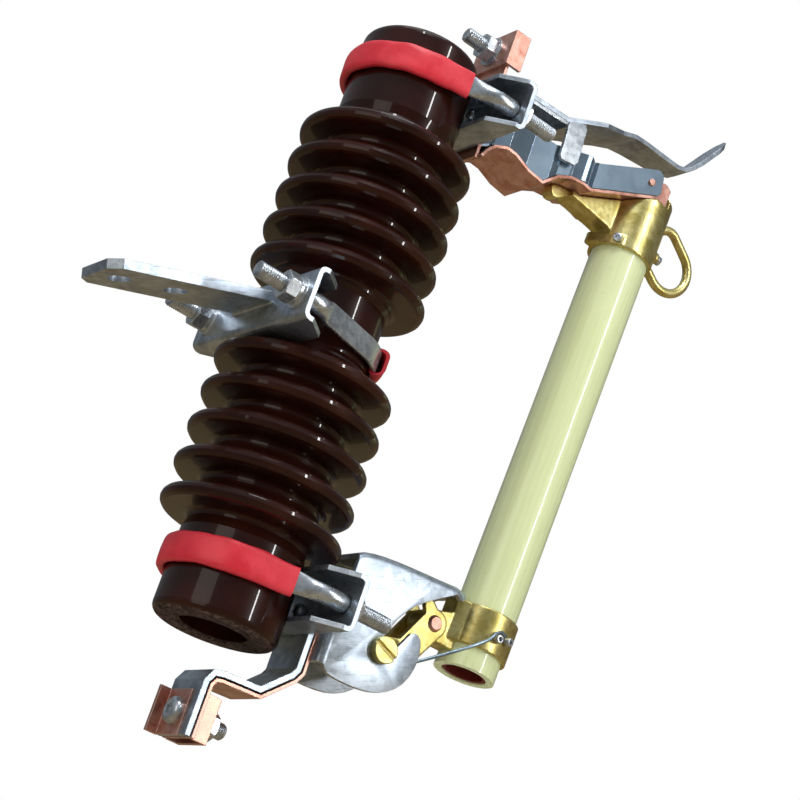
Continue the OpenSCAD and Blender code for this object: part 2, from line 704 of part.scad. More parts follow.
module fuse_tube() {
    color([0.80, 0.82, 0.58]) placed() along_tube() difference() {
        cylinder(r = tube_r, h = tube_len, $fn = 96);
        translate([0, 0, -1]) cylinder(r = tube_r - tube_wall, h = tube_len + 2, $fn = 64);
    }
}

module tube_liner() {
    color([0.45, 0.08, 0.06]) placed() along_tube() translate([0, 0, 1]) difference() {
        cylinder(r = tube_r - tube_wall - 0.05, h = tube_len - 1, $fn = 64);
        translate([0, 0, -1]) cylinder(r = tube_r - tube_wall - liner_wall, h = tube_len + 2, $fn = 64);
    }
}

// What lies over the nose and the casting: the copper strip's under side, less the pressing gap.
module above_contact() {
    under = lowered(copper_under, press_gap);
    side_plate(-40, 40) polygon(concat(
        [for (i = [3:len(under) - 1]) under[i]], [spring_tip + [13, -3.5], spring_tip + [13, 40], [80, up + 60]]
    ));
}

// Lug on the casting's lower end, in plan: a flat under the near screw, then a round end beyond the left.
screw_turn = -48;                            // the near screw's place round the tube
screw_out = [sin(screw_turn), -cos(screw_turn)];
screw_along = [cos(screw_turn), sin(screw_turn)];
lug_h = 7;
lug_flat = casting_r + 0.7;
lug_outline = concat(
    [(casting_r - 3) * screw_out + 8 * screw_along, lug_flat * screw_out + 4 * screw_along],
    [lug_flat * screw_out - 4 * screw_along],
    arc([-casting_r - 1, 4], 4.5, 200, 60, 6), [casting_r * [-0.64, 0.64]]
);
boss_y = -8;                                 // the right screw's place
boss_up = 14;

module top_casting() {
    color([0.78, 0.64, 0.25]) placed() difference() {
        union() {
            along_tube() difference() {
                union() {
                    translate([0, 0, casting_s]) cylinder(r = casting_r, h = casting_h, $fn = 96);
                    translate([0, 0, casting_s + casting_h])
                        cylinder(r1 = casting_r, r2 = casting_r - 6, h = dome_h, $fn = 96);
                    // Lug of the near screw, and the boss of the right one.
                    translate([0, 0, casting_s + 0.5]) linear_extrude(lug_h) polygon(lug_outline);
                    translate([0, boss_y, casting_s + boss_up]) rotate([0, 90, 0]) cylinder(r = 4, h = casting_r, $fn = 32);
                }
                translate([0, 0, casting_s - 1]) cylinder(r = tube_r + 0.05, h = tube_len - casting_s + 1.05, $fn = 96);
            }
            difference() {
                union() {
                    side_plate(-9, 9) polygon([
                        [172, up + 20], [133, up + 14], [133, up - 1], [166, up - 5.2], [172, up - 8]
                    ]);
                    side_plate(-5, 5) polygon([
                        [140, up + 14], [126, up + 10], [118.5, up + 4], [118.5, up - 4], [121, up - 7], [125, up - 7],
                        [129, up - 4.5], [133.5, up + 0.3], [140, up - 1.2]
                    ]);
                }
                side_plate(-6, 6) polygon([[169, up + 30], [136, up + 30], [136, up + 2.5], [167, up - 1.5]]);
                along_tube() cylinder(r = tube_r, h = casting_s + casting_h, $fn = 64);
            }
        }
        above_contact();
    }
}

// The ring bends round two circles in the plane of the tube and the insulator.
ring_big = [229.5, up - 1];
ring_big_r = 17.5;
ring_small = [223, up + 15];
ring_small_r = 8.5;

module ring_arc(c, r, a0, a1) {
    translate([c[0], 0, c[1]]) rotate([90, 0, 0]) rotate([0, 0, a0])
        rotate_extrude(angle = a1 - a0, $fn = 64) translate([r, 0]) circle(r = ring_rod_r, $fn = 24);
}

// Ends of rods and bends meet in a bead that is a little thicker than the rod.
bead_gap = 0.5;
module ring_bead(c) {
    translate([c[0], 0, c[1]]) sphere(r = ring_rod_r + 0.06, $fn = 24);
}

module ring_leg(start, dir, length) {
    a = start + bead_gap * dir;
    e = start + length * dir;
    ring_bead(start + bead_gap / 2 * dir);
    rod_between([a[0], 0, a[1]], [e[0], 0, e[1]], ring_rod_r);
}

module pull_ring() {
    v = ring_small - ring_big;
    turn = atan2(v[1], v[0]) - acos((ring_big_r - ring_small_r) / norm(v));
    e = [cos(turn), sin(turn)];
    p = ring_big + ring_big_r * e;
    q = ring_small + ring_small_r * e;
    end_turn = -125;
    head_turn = 125;
    into = 12;                                   // from the bend's end into the casting
    foot = ring_big + ring_big_r * [cos(end_turn), sin(end_turn)];
    head = ring_small + ring_small_r * [cos(head_turn), sin(head_turn)];
    color([0.78, 0.68, 0.35]) placed() difference() {
        union() {
            ring_arc(ring_big, ring_big_r, end_turn, turn);
            ring_arc(ring_small, ring_small_r, turn, head_turn);
            ring_leg(p, unit(q - p), norm(q - p) - bead_gap);
            ring_bead(q - bead_gap / 2 * unit(q - p));
            ring_leg(foot, [sin(end_turn), -cos(end_turn)], into);
            ring_leg(head, [-sin(head_turn), cos(head_turn)], into);
        }
        along_tube() cylinder(r = casting_r + seat, h = casting_s + casting_h + dome_h, $fn = 96);
    }
}

module top_screws() {
    color([0.60, 0.60, 0.58]) placed() along_tube() {
        rotate([0, 0, screw_turn]) translate([0, -lug_flat - 0.2, casting_s + 4.5]) rotate([90, 0, 0])
            cylinder(r = 3, h = 2.5, $fn = 24);
        translate([casting_r + seat, boss_y, casting_s + boss_up]) rotate([0, 90, 0]) cylinder(r = 3.2, h = 3, $fn = 24);
    }
}

module bottom_collar() {
    fork = [-27, tongue_half - 0.4];             // the tapered body runs just inside the tongue's faces
    color([0.78, 0.64, 0.25]) placed() difference() {
        union() {
            along_tube() translate([0, 0, collar_s]) linear_extrude(collar_h) {
                circle(r = casting_r, $fn = 96);
                polygon([[-6, casting_r - 5], fork, [fork[0], -fork[1]], [-6, 5 - casting_r]]);
            }
            side_plate(-tongue_half, tongue_half) link_outline(toggle_at, toggle_at + [21, 3], 9, 12);
        }
        along_tube() translate([0, 0, collar_s - 20]) cylinder(r = tube_r + 0.05, h = collar_h + 40, $fn = 96);
        translate([toggle_at[0], 20, toggle_at[1]]) rotate([90, 0, 0]) cylinder(r = toggle_pin_r + pin_play, h = 40, $fn = 32);
    }
}

module bottom_screws() {
    color([0.62, 0.62, 0.60]) placed() along_tube() for (a = [-2, 18])
        rotate([0, 0, a]) translate([0, -casting_r - seat, collar_s + 10 + a / 10]) rotate([90, 0, 0])
            cylinder(r = 2.6, h = 4, $fn = 24);
}

// Steel spring wire from the trunnion across the collar's near side, ending at its screw.
module ejector_wire() {
    wire_r = 1.2;
    bead_r = wire_r + 0.08;
    off_axis = 9.5;                              // the wire's end, off the tube's axis
    side_y = -sqrt(pow(casting_r + seat + bead_r, 2) - pow(off_axis, 2));
    path = [[112, -13.5, low - 10], [130, -16.5, low + 2], [147, side_y, low + 15.5], [163, side_y, low + 27.5]];
    color([0.82, 0.83, 0.85]) placed() {
        for (i = [0:len(path) - 2]) rod_between(path[i], path[i + 1], wire_r);
        for (p = path) translate(p) sphere(r = bead_r, $fn = 16);
    }
}

insulator();
mount_bar();
middle_bracket();
middle_strap();
middle_sleeve();
middle_nuts();
middle_washers();
upper_bracket();
upper_strap();
upper_sleeve();
upper_nuts();
upper_contact_strip();
contact_spring();
contact_rivets();
guide_arm();
guide_clips();
upper_terminal_clamp();
upper_terminal_bolt();
upper_terminal_nut();
lower_bracket();
lower_strap();
lower_sleeve();
lower_nuts();
hanger();
lower_contact();
lower_terminal_steel();
lower_terminal_copper();
terminal_clamps();
lower_terminal_bolt();
lower_terminal_nut();
trunnion();
toggle_pin();
fuse_tube();
tube_liner();
top_casting();
pull_ring();
top_screws();
bottom_collar();
bottom_screws();
ejector_wire();
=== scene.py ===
"""Looks of the dropout fuse cutout: materials, small parts, floor, lights and camera."""

import json
from math import acos, atan2, cos, exp, pi, radians, sin, sqrt, tan

import bmesh
import bpy
from mathutils import Matrix, Vector, noise

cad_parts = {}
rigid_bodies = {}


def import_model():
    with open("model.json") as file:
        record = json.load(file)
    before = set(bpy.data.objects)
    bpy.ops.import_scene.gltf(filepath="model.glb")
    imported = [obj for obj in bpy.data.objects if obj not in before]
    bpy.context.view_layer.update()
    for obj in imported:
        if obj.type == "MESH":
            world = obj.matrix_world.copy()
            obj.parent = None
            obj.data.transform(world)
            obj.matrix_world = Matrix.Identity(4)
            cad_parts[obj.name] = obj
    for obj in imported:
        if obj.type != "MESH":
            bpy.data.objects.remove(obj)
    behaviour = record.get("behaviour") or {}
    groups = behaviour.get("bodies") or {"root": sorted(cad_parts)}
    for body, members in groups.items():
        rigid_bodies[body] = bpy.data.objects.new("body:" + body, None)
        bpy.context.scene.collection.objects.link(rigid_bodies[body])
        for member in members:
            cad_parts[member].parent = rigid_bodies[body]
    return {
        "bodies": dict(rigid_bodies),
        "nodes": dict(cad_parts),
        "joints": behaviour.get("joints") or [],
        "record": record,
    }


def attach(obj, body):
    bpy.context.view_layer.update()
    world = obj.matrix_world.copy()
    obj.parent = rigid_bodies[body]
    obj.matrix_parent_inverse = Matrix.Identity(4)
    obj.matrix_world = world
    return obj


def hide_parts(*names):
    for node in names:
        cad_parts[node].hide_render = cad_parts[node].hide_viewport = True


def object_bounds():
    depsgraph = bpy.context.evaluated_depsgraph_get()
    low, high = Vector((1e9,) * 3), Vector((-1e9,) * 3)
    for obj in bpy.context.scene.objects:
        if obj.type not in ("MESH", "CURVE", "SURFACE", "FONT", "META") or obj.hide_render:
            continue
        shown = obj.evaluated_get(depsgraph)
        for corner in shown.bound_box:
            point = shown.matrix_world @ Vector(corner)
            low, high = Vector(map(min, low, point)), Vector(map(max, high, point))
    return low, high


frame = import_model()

cad_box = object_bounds()
scene = bpy.context.scene
nodes = frame["nodes"]
MM = 0.001
WELD = 0.01 * MM                             # points nearer than this are joined


# --- the part's own sizes, in millimetres as in its source ---

LEAN = 17.5
BAR_REACH, BAR_T = 70, 6
NECK_R, BARREL_R = 34, 37.5
BOTTOM_Z = -184                              # lower end of the porcelain
GLAZE_END = 1.2                              # height of the bare foot above it
BRACKET_GAP = 12.5
WEB_X = BARREL_R + BRACKET_GAP               # outer face of an end clamp's web
MIDDLE_WEB_X = NECK_R + BRACKET_GAP + 0.5    # the same of the middle clamp
SHEET_T = 3
SEAT = 0.3                                   # gap between a round piece and its seat

UP, LOW = 180, -150                          # heights of the end clamps
STUD_Y, STUD_R = 51, 5
STUD_OUT, STUD_OUT_MIDDLE = 28, 31
THREAD_DEPTH = 0.6
STRAP_T, STRAP_H = 2.5, 14
STRAP_LEAD = 13                              # straight start of a stud inside its web
SHANK_R = STUD_R + 0.6                       # a stud before its thread
SLEEVE_T, SLEEVE_H = 1.8, 18.5
SLEEVE_GAP = 0.3                             # gap between a strap and its sleeve

TUBE_FOOT = Vector((171.5, 0, LOW + 10.5))
TUBE_LEAN = 3.4
TRUNNION = Vector((96, 0, LOW - 6))
UPPER_BOLT_X, UPPER_BOLT_Z, UPPER_BOLT_H = WEB_X + 3, UP + 59, 29
LOWER_BOLT_X, LOWER_BOLT_Z, LOWER_BOLT_H = -5.2, LOW - 84, 33.5

HANGER_X, HANGER_HALF = 56.7, 24             # the hanger's web, and half its width
HANGER_BEND = 5.0
FLANGE_END, TONGUE_END = 134, 150.9          # where the sides end, and the roof's tongue
SLOT_TURN, SLOT_R = 62, 5.65                 # the trunnion's slot: its slant, and half its width
HANGER_CROWN = (                             # middle line of the roof
    (61.7, -109.0), (66, -106.6), (72, -104.9), (80, -103.4), (90, -102.2), (100, -101.4), (110, -100.7),
    (118, -100.2), (126, -99.6), (131, -99.2), (134, -98.9), (137, -98.6), (140, -98.2), (143, -97.8),
    (145.5, -97.4), (147.5, -97.1), (149, -96.9), (150, -96.8), (150.6, -96.7),
)
HANGER_FRONT = (                             # edge of a side, from the tongue down to the slot
    (131.5, -105.9), (123, -111.6), (115, -117.2), (109, -122.2), (103.8, -128.2), (99.6, -134.6),
    (97.2, -140),
)
HANGER_DISC = (                              # edge of a side, from the slot round its foot to the web
    (111.6, -138.6), (114, -137.7), (116.6, -138), (118.8, -139.6), (120.3, -142.6), (121.3, -147),
    (121.6, -152), (121, -157.5), (119.4, -163), (116.6, -168.4), (112.8, -173), (108, -176.8),
    (102.4, -179.8), (96, -181.8), (89, -182.9), (81, -183.4), (72, -183.4), (66, -182.6),
    (HANGER_X + HANGER_BEND + 1.5, -180.8),
)
HANGER_FOOT = -178.5                         # lower edge of the web
WEB_RINGS = [HANGER_FOOT] + [-174 + 8 * i for i in range(7)]

WIRE = (                                     # the ejector's wire, from behind the hanger to its screw
    (112, -13.5, LOW - 10), (124, -17.2, LOW - 1.5), (137, -21, LOW + 8), (149, -24.4, LOW + 17.2),
    (159, -25.8, LOW + 25.2), (165.4, -25.6, LOW + 31), (168.6, -25, LOW + 35.6), (172.6, -24.4, LOW + 37.9),
    (176.4, -23.7, LOW + 36.6),
)
WIRE_R = 1.05

ORIGIN = (MIDDLE_WEB_X * cos(radians(LEAN)) + BAR_REACH, 0, -MIDDLE_WEB_X * sin(radians(LEAN)) - BAR_T)
PLACED = Matrix.Scale(MM, 4) @ Matrix.Translation(ORIGIN) @ Matrix.Rotation(radians(LEAN), 4, "Y")
ALONG_TUBE = PLACED @ Matrix.Translation(TUBE_FOOT) @ Matrix.Rotation(radians(TUBE_LEAN), 4, "Y")
AXIS = (PLACED.to_3x3() @ Vector((0, 0, 1))).normalized()
TUBE_AXIS = (ALONG_TUBE.to_3x3() @ Vector((0, 0, 1))).normalized()


# --- materials ---


def linear(red, green, blue):
    """A colour given as 0 to 255 display values, for a shader socket."""
    shares = [c / 255 for c in (red, green, blue)]
    return [s / 12.92 if s < 0.04045 else ((s + 0.055) / 1.055) ** 2.4 for s in shares] + [1]


class Finish:
    """A Principled material that is built up by short calls. Lengths are in metres on the part."""

    bevel_samples = 6
    edge_starts, edge_full = 0.995, 0.9      # cosines between the rounded normal and the flat one

    def __init__(self, name, **values):
        self.material = bpy.data.materials.new(name)
        self.material.use_nodes = True
        self.tree = self.material.node_tree
        self.shader = self.tree.nodes["Principled BSDF"]
        self.place = self.add("ShaderNodeTexCoord").outputs["Object"]
        for socket, value in values.items():
            self.set(socket.replace("_", " "), value)

    def add(self, kind, inputs=(), **settings):
        node = self.tree.nodes.new(kind)
        for key, value in settings.items():
            setattr(node, key, value)
        for key, value in dict(inputs).items():
            self.put(node.inputs[key], value)
        return node

    def put(self, socket, value):
        if isinstance(value, bpy.types.NodeSocket):
            self.tree.links.new(value, socket)
        else:
            socket.default_value = value

    def set(self, socket, value):
        self.put(self.shader.inputs[socket], value)

    def stretched(self, along, factor):
        """The place, drawn out by factor along a direction, for grain and brush lines."""
        turn = Vector((0, 0, 1)).rotation_difference(along).inverted().to_euler()
        turned = self.add("ShaderNodeMapping", {"Vector": self.place, "Rotation": turn}).outputs[0]
        return self.add("ShaderNodeMapping", {"Vector": turned, "Scale": (1, 1, 1 / factor)}).outputs[0]

    def noise(self, size, detail=4, rough=0.6, warp=0.0, at=None):
        inputs = {"Vector": at or self.place, "Scale": 1 / size}
        inputs.update({"Detail": detail, "Roughness": rough, "Distortion": warp})
        return self.add("ShaderNodeTexNoise", inputs).outputs["Fac"]

    def cells(self, size):
        """A random value for each cell of about that size."""
        inputs = {"Vector": self.place, "Scale": 1 / size}
        return self.add("ShaderNodeTexVoronoi", inputs).outputs["Color"]

    def math(self, operation, a, b):
        return self.add("ShaderNodeMath", {0: a, 1: b}, operation=operation).outputs[0]

    def total(self, *parts):
        """The sum of values, each given with its weight."""
        weighted = [self.math("MULTIPLY", value, weight) for value, weight in parts]
        result = weighted[0]
        for part in weighted[1:]:
            result = self.math("ADD", result, part)
        return result

    def spread(self, value, low, high, to_low=0.0, to_high=1.0):
        """value, with low to high drawn out to to_low to to_high."""
        inputs = {"Value": value, "From Min": low, "From Max": high, "To Min": to_low, "To Max": to_high}
        return self.add("ShaderNodeMapRange", inputs, interpolation_type="SMOOTHSTEP").outputs[0]

    def between(self, kind, sockets, share, a, b):
        """The Mix node of that kind, whose sockets are numbered: share, a, b and the result."""
        node = self.add("ShaderNodeMix", data_type=kind)
        for index, value in zip(sockets, (share, a, b)):
            self.put(node.inputs[index], value)
        return node.outputs[sockets[3]]

    def mix(self, share, a, b):
        """From colour a to colour b."""
        return self.between("RGBA", (0, 6, 7, 2), share, a, b)

    def blend(self, share, a, b):
        """From number a to number b."""
        return self.between("FLOAT", (0, 2, 3, 0), share, a, b)

    def tint(self, colour, mask, share, other):
        """The colour, turned by that share towards the other where the mask is 1."""
        return self.mix(self.math("MULTIPLY", mask, share), colour, other)

    def dot(self, a, b):
        node = self.add("ShaderNodeVectorMath", {0: a, 1: b}, operation="DOT_PRODUCT")
        return node.outputs["Value"]

    def rounded(self, radius):
        """A normal that rounds the edges, and the share of an edge at each place."""
        bevel = self.add("ShaderNodeBevel", {"Radius": radius}, samples=self.bevel_samples).outputs[0]
        flat = self.add("ShaderNodeNewGeometry").outputs["Normal"]
        return bevel, self.spread(self.dot(bevel, flat), self.edge_starts, self.edge_full)

    def bump(self, height, depth, normal=None):
        inputs = {"Height": height, "Distance": depth, "Strength": 1.0}
        if normal is not None:
            inputs["Normal"] = normal
        return self.add("ShaderNodeBump", inputs).outputs[0]


def porcelain():
    """Dark brown glaze with fine specks, and a bare scuffed foot."""
    coat = 0.55
    f = Finish("glazed_porcelain", IOR=1.5, Coat_Weight=coat, Coat_Roughness=0.02, Coat_IOR=1.5)
    f.set("Specular IOR Level", 0.1)
    drift = f.noise(0.03, 3, 0.5)
    speck = f.noise(0.0012, 2)
    glaze = f.mix(f.spread(drift, 0.35, 0.7), linear(36, 12, 7), linear(52, 20, 11))
    glaze = f.mix(f.spread(speck, 0.62, 0.8, 0, 0.5), glaze, linear(26, 10, 7))
    height = f.dot(f.place, AXIS)
    glaze_end = PLACED @ Vector((0, 0, BOTTOM_Z + GLAZE_END))
    at_foot = f.spread(f.math("SUBTRACT", height, glaze_end.dot(AXIS)), 0.0006, -0.0006)
    scuffs = f.noise(0.004, 6, 0.7, 1.5)
    bare = f.mix(f.spread(scuffs, 0.4, 0.65), linear(48, 34, 29), linear(104, 84, 74))
    f.set("Base Color", f.mix(at_foot, glaze, bare))
    f.set("Roughness", f.blend(at_foot, 0.3, 0.8))
    f.set("Coat Weight", f.spread(at_foot, 0, 1, coat, 0))
    ripple = f.noise(0.006, 2, 0.4)
    f.set("Normal", f.bump(ripple, 0.00006))
    return f.material


def sheet_metal(name, dark, light, rough, uneven, mottling, scratched):
    """Worked metal: softly mottled between two tones, with fine scratches, and rounded edges lightened, part
    wear and part painted highlight.
    """
    f = Finish(name, Metallic=0.82)
    normal, rim = f.rounded(0.0005)
    mottle = f.noise(mottling, 2, 0.5, 0.4)
    broad = f.noise(0.03, 3, 0.5)
    tone = f.total((mottle, 0.6), (broad, 0.4))
    colour = f.mix(f.spread(tone, 0.3, 0.7), dark, light)
    scratch = f.noise(0.0007, 3, 0.7, 0.2, f.stretched(Vector((0.4, 0.7, 0.6)).normalized(), 40))
    colour = f.mix(f.spread(scratch, 0.62, 0.78, 0, scratched), colour, linear(235, 240, 245))
    # Rounded edges are tinted towards near-white: part edge wear, part painted highlight.
    f.set("Base Color", f.tint(colour, rim, 0.5, linear(240, 244, 250)))
    f.set("Roughness", f.spread(tone, 0.25, 0.75, rough, rough + uneven))
    f.set("Normal", f.bump(f.noise(0.008, 2, 0.5), 0.00002, normal))
    return f.material


def galvanized():
    """Hot dip zinc: dull crystals, fine frosting, dark streaks along the sheet and a little grime."""
    f = Finish("galvanized_steel", Metallic=0.88)
    normal, rim = f.rounded(0.0006)
    frosting = f.noise(0.0014, 4, 0.7)
    clouds = f.noise(0.02, 4, 0.6, 0.5)
    tone = f.total((clouds, 0.6), (frosting, 0.18), (f.cells(0.0045), 0.22))
    colour = f.mix(f.spread(tone, 0.32, 0.68), linear(148, 159, 170), linear(196, 207, 219))
    rolled_along = (PLACED.to_3x3() @ Vector((1, 0, 0.45))).normalized()
    streaks = f.noise(0.0008, 3, 0.6, 0.3, f.stretched(rolled_along, 26))
    colour = f.mix(f.spread(streaks, 0.55, 0.68, 0, 0.5), colour, linear(92, 100, 108))
    grime = f.spread(f.noise(0.018, 6, 0.7, 1.0), 0.6, 0.78, 0, 0.3)
    colour = f.mix(grime, colour, linear(96, 90, 78))
    # Rounded edges are tinted towards near-white: part edge wear, part painted highlight.
    f.set("Base Color", f.tint(colour, rim, 0.55, linear(236, 241, 247)))
    f.set("Roughness", f.spread(tone, 0.3, 0.7, 0.34, 0.38))
    f.set("Normal", f.bump(f.noise(0.006, 2, 0.5), 0.00004, normal))
    return f.material


def copper():
    """Bright worked copper with brown tarnish in patches."""
    f = Finish("worked_copper", Metallic=0.8)
    normal, rim = f.rounded(0.0006)
    clouds = f.noise(0.012, 5, 0.65, 0.5)
    colour = f.mix(f.spread(clouds, 0.35, 0.68), linear(194, 134, 115), linear(228, 182, 167))
    tarnish = f.spread(f.noise(0.02, 5, 0.7, 0.8), 0.52, 0.72, 0, 0.6)
    colour = f.mix(tarnish, colour, linear(124, 74, 56))
    # Rounded edges are tinted strongly towards pale pink: part edge wear, part painted highlight.
    f.set("Base Color", f.tint(colour, rim, 0.8, linear(252, 226, 217)))
    f.set("Roughness", f.spread(clouds, 0.3, 0.7, 0.26, 0.42))
    f.set("Normal", f.bump(f.noise(0.002, 4, 0.6), 0.00003, normal))
    return f.material


def cast_brass():
    """Cast brass: clouded, finely grained, with darker pits, and rounded edges lightened, part wear and part
    painted highlight.
    """
    f = Finish("cast_brass", Metallic=0.92)
    normal, rim = f.rounded(0.0009)
    clouds = f.noise(0.014, 5, 0.7, 0.6)
    grains = f.noise(0.0011, 3, 0.6)
    colour = f.mix(f.spread(clouds, 0.35, 0.68), linear(188, 172, 96), linear(230, 218, 152))
    pits = f.spread(f.noise(0.0022, 4, 0.65), 0.62, 0.74)
    colour = f.tint(colour, pits, 0.35, linear(112, 92, 40))
    # Rounded edges are tinted towards pale yellow-white: part edge wear, part painted highlight.
    f.set("Base Color", f.tint(colour, rim, 0.45, linear(244, 238, 194)))
    f.set("Roughness", f.spread(grains, 0.3, 0.7, 0.3, 0.37))
    f.set("Normal", f.bump(f.total((grains, 0.5), (f.noise(0.004, 3, 0.5), 0.5)), 0.00003, normal))
    return f.material


def red_rubber():
    """Satin red rubber with pale scuffs."""
    f = Finish("red_rubber", IOR=1.5, Specular_IOR_Level=0.5)
    clouds = f.noise(0.015, 4, 0.6, 0.3)
    colour = f.mix(f.spread(clouds, 0.3, 0.7), linear(214, 42, 56), linear(230, 58, 72))
    scuffs = f.spread(f.noise(0.0016, 5, 0.75, 0.4, f.stretched(AXIS, 6)), 0.66, 0.8)
    f.set("Base Color", f.tint(colour, scuffs, 0.45, linear(232, 128, 140)))
    f.set("Roughness", f.spread(clouds, 0.3, 0.7, 0.34, 0.48))
    f.set("Normal", f.bump(f.noise(0.0012, 3, 0.6), 0.00008))
    return f.material


def fibreglass():
    """Clear resin over wound glass: pale green, streaked along the tube, with specks and red marks."""
    f = Finish("fibreglass_tube", IOR=1.5, Coat_Weight=0.6, Coat_Roughness=0.05, Specular_IOR_Level=0.4)
    along = f.stretched(TUBE_AXIS, 30)
    streaks = f.noise(0.003, 4, 0.6, 0.3, along)
    clouds = f.noise(0.04, 3, 0.5)
    colour = f.mix(f.spread(streaks, 0.25, 0.75), linear(224, 234, 178), linear(230, 239, 187))
    colour = f.mix(f.spread(clouds, 0.4, 0.7, 0, 0.5), colour, linear(232, 240, 190))
    specks = f.spread(f.noise(0.0016, 2, 0.5), 0.76, 0.8)
    colour = f.tint(colour, specks, 0.7, linear(70, 66, 40))
    marks_start, marks_full = [(ALONG_TUBE @ Vector((0, 0, s))).dot(TUBE_AXIS) for s in (75, 45)]
    low = f.spread(f.dot(f.place, TUBE_AXIS), marks_start, marks_full)
    marks = f.math("MULTIPLY", f.spread(f.noise(0.0035, 3, 0.6), 0.68, 0.74, 0, 0.6), low)
    colour = f.mix(marks, colour, linear(198, 92, 84))
    f.set("Base Color", colour)
    f.set("Roughness", f.spread(streaks, 0.3, 0.7, 0.22, 0.34))
    f.set("Subsurface Weight", 0.12)
    f.set("Subsurface Radius", (0.004, 0.004, 0.002))
    f.set("Subsurface Scale", 1.0)
    f.set("Normal", f.bump(f.noise(0.0016, 2, 0.5, 0, along), 0.00001))
    return f.material


def fibre_liner():
    """The dull red fibre that lines the tube."""
    f = Finish("fibre_liner", IOR=1.45)
    clouds = f.noise(0.004, 4, 0.6)
    f.set("Base Color", f.mix(clouds, linear(84, 16, 12), linear(128, 34, 24)))
    f.set("Roughness", f.spread(clouds, 0.3, 0.7, 0.45, 0.65))
    f.set("Normal", f.bump(clouds, 0.0001))
    return f.material


finishes = {
    "porcelain": porcelain(),
    "galvanized": galvanized(),
    "zinc_plate": sheet_metal(
        "zinc_plated_steel", linear(166, 173, 180), linear(214, 221, 228),
        rough=0.24, uneven=0.07, mottling=0.005, scratched=0.08,
    ),
    "spring_steel": sheet_metal(
        "spring_steel", linear(128, 147, 164), linear(142, 162, 178),
        rough=0.27, uneven=0.02, mottling=0.012, scratched=0.0,
    ),
    "red_rubber": red_rubber(),
    "copper": copper(),
    "cast_brass": cast_brass(),
    "fibreglass": fibreglass(),
    "fibre_liner": fibre_liner(),
}


def paint_nodes():
    """Each CAD node gets the finish of its slot in the record."""
    for entry in frame["record"]["subparts"]:
        slots = nodes[entry["node"]].data.materials
        slots.clear()
        slots.append(finishes[entry["material_slot"]])


# --- making shapes ---


def smooth_path(points, step):
    """A Catmull-Rom curve through the points, with a point about every step."""
    ends = [2 * points[0] - points[1]] + points + [2 * points[-1] - points[-2]]
    path = []
    for a, b, c, d in zip(ends, ends[1:], ends[2:], ends[3:]):
        square, cube = 2 * a - 5 * b + 4 * c - d, 3 * b - a - 3 * c + d
        count = max(1, round((c - b).length / step))
        for i in range(count):
            t = i / count
            path.append(0.5 * (2 * b + (c - a) * t + square * t**2 + cube * t**3))
    return path + [points[-1]]


def heading(path, i):
    """The path's direction at its point i."""
    return (path[min(i + 1, len(path) - 1)] - path[max(i - 1, 0)]).normalized()


def frames_along(path):
    """A matrix at each point of the path, with Z along it, turned as little as possible."""
    frames = []
    before, turn = Vector((0, 0, 1)), Matrix.Identity(3)
    for i, point in enumerate(path):
        ahead = heading(path, i)
        turn = before.rotation_difference(ahead).to_matrix() @ turn
        before = ahead
        frames.append(Matrix.Translation(point) @ turn.to_4x4())
    return frames


def polar(radius, turn, z=0.0):
    """A point by its radius and turn round Z."""
    return Vector((radius * cos(turn), radius * sin(turn), z))


def circle(radius, sides, z=0.0):
    return [polar(radius, 2 * pi * i / sides, z) for i in range(sides)]


def squared(value, power):
    """A sine or cosine whose outline is squared off by a power under 1."""
    return abs(value) ** power * (1 if value > 0 else -1)


def skin(bm, rings, joined=False):
    """Quads between rings of points, capped at both ends or, when joined, closed into a loop."""
    rows = [[bm.verts.new(p) for p in ring] for ring in rings]
    for a, b in list(zip(rows, rows[1:])) + ([(rows[-1], rows[0])] if joined else []):
        for i in range(len(a)):
            j = (i + 1) % len(a)
            bm.faces.new((a[i], a[j], b[j], b[i]))
    if not joined:
        bm.faces.new(rows[0][::-1])
        bm.faces.new(rows[-1])


TIP_TURNS = (0.35, 0.75, 1.15)               # where the rings of a rod's rounded tip lie, in radians


def add_rod(bm, path, radius, sides):
    """A round rod along the path, with rounded ends."""
    frames = frames_along(path)

    def tip(frame, turn, way):
        return [frame @ p for p in circle(radius * sin(turn), sides, way * radius * cos(turn))]

    rings = [tip(frames[0], turn, -1) for turn in TIP_TURNS]
    rings += [[frame @ p for p in circle(radius, sides)] for frame in frames]
    rings += [tip(frames[-1], turn, 1) for turn in reversed(TIP_TURNS)]
    skin(bm, rings)


def add_revolve(bm, place, profile, sides):
    """A closed body from (radius, height) pairs turned round Z, placed by a matrix."""
    skin(bm, [[place @ p for p in circle(r, sides, z)] for r, z in profile])


THREAD = ((0.0, 0.0), (0.14, 0.0), (0.45, 1.0), (0.57, 1.0))   # share of the pitch, share of the depth
THREAD_PITCH, THREAD_CHAMFER, THREAD_SIDES = 1.5, 0.5, 28
ROOT_CLEAR = 0.04                            # what the thread's root stands proud of the CAD's cylinder


def add_thread(bm, place, length):
    """A threaded rod along Z, whose far end is chamfered. Its grid runs round with the thread."""
    sides, rows = THREAD_SIDES, len(THREAD)
    root = STUD_R - THREAD_DEPTH + ROOT_CLEAR
    turns = int(length / THREAD_PITCH) + 2
    grid = {}
    for row in range(turns * rows):
        share, depth = THREAD[row % rows]
        for i in range(sides):
            z = THREAD_PITCH * (row // rows - 1 + share + i / sides)
            z = min(max(z, 0), length)
            radius = min(root + (STUD_R - root) * depth, root - THREAD_CHAMFER + (length - z))
            grid[row, i] = bm.verts.new(place @ polar(radius, 2 * pi * i / sides, z))
    for row in range((turns - 1) * rows - 1):
        for i in range(sides):
            after = (row + rows, 0) if i == sides - 1 else (row, i + 1)
            bm.faces.new((grid[row, i], grid[after], grid[after[0] + 1, after[1]], grid[row + 1, i]))


